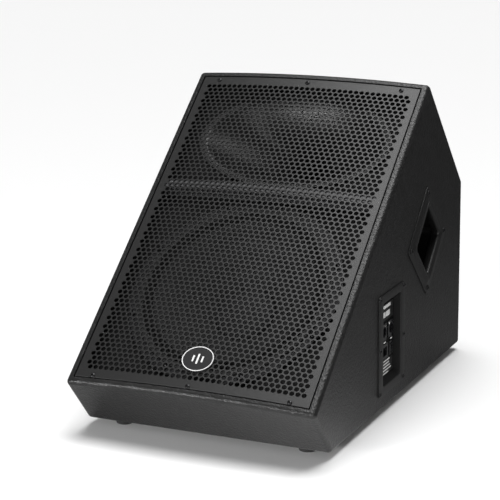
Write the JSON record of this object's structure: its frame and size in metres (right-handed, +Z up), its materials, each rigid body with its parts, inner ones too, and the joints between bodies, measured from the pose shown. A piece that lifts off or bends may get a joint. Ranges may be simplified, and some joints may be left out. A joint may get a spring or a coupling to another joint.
{
  "type": "stage monitor wedge",
  "caption": "Floor wedge loudspeaker: sloping perforated grille over a woofer and horn, side handles, input dish and built-in amplifier.",
  "frame": {"origin": "on the floor under the middle of the cabinet's box", "axes": "+Z up, the sloping grille faces -Y and up, +X is the side with the input dish"},
  "size_m": [0.475, 0.753, 0.5677],
  "materials": {
    "cabinet_paint": "textured black paint on birch plywood",
    "bare_ply": "bare birch plywood",
    "grille_paint": "black powder coat, satin",
    "screw_black": "black zinc",
    "badge_plate": "dark enamel with a pale rim",
    "cast_frame": "black coated casting",
    "plated_steel": "zinc plated",
    "cone_paper": "doped pulp",
    "surround_cloth": "coated cloth",
    "gasket_rubber": "matt",
    "ferrite": "matt grey",
    "horn_plastic": "satin moulding",
    "former_film": "amber film with copper winding",
    "driver_shell": "dark paint",
    "driver_cap": "satin",
    "handle_plastic": "fine texture",
    "dish_plastic": "fine texture",
    "socket_plastic": "smooth moulding",
    "latch_metal": "nickel plate",
    "label_print": "blank printed label",
    "foot_rubber": "matt",
    "sink_aluminium": "black anodised",
    "board": "solder mask",
    "winding": "enamelled wire under tape",
    "wadding": "loose fibre"
  },
  "bodies": {
    "cabinet": {"side_panel_left": "cabinet_paint", "side_panel_right": "cabinet_paint", "base_panel": "cabinet_paint", "back_panel": "cabinet_paint", "front_lip": "cabinet_paint", "top_panel": "cabinet_paint", "grille_cross_bar": "cabinet_paint", "baffle": "bare_ply", "baffle_brace": "bare_ply", "grille": "grille_paint", "badge": "badge_plate", "grille_screw_1": "screw_black", "grille_screw_2": "screw_black", "grille_screw_3": "screw_black", "grille_screw_4": "screw_black", "grille_screw_5": "screw_black", "grille_screw_6": "screw_black", "woofer_bolt_1": "screw_black", "woofer_bolt_2": "screw_black", "woofer_bolt_3": "screw_black", "woofer_bolt_4": "screw_black", "woofer_bolt_5": "screw_black", "woofer_bolt_6": "screw_black", "woofer_bolt_7": "screw_black", "woofer_bolt_8": "screw_black", "woofer_frame": "cast_frame", "top_plate": "plated_steel", "back_plate_and_pole": "plated_steel", "woofer_surround": "surround_cloth", "spider": "surround_cloth", "woofer_gasket": "gasket_rubber", "magnet_ring": "ferrite", "horn": "horn_plastic", "hf_driver": "driver_shell", "hf_driver_cap": "driver_cap", "handle_cup_left": "handle_plastic", "handle_cup_right": "handle_plastic", "input_dish": "dish_plastic", "input_socket": "socket_plastic", "loop_socket": "socket_plastic", "power_inlet": "socket_plastic", "rocker_housing": "socket_plastic", "upper_label": "label_print", "rating_label": "label_print", "foot_front_left": "foot_rubber", "foot_front_right": "foot_rubber", "foot_rear_left": "foot_rubber", "foot_rear_right": "foot_rubber", "heat_sink": "sink_aluminium", "amp_board": "board", "mains_transformer": "winding", "wadding": "wadding"},
    "woofer_moving": {"woofer_cone": "cone_paper", "dust_cap": "cone_paper", "coil_former": "former_film"},
    "latch": {"input_latch": "latch_metal"},
    "rocker": {"power_rocker": "socket_plastic"}
  },
  "joints": [
    {"name": "cone_travel", "type": "slide", "parent": "cabinet", "child": "woofer_moving", "axis": [0, -0.6428, 0.766], "range_m": [-0.005, 0.005], "stiffness_N_per_m": 5000},
    {"name": "latch_press", "type": "slide", "parent": "cabinet", "child": "latch", "axis": [-1, 0, 0], "range_m": [0, 0.0022], "stiffness_N_per_m": 300},
    {"name": "rocker_tilt", "type": "hinge", "parent": "cabinet", "child": "rocker", "pos_m": [0.2204, 0.00553, 0.1095], "axis": [0, -1, 0], "range_deg": [0, 18]}
  ]
}
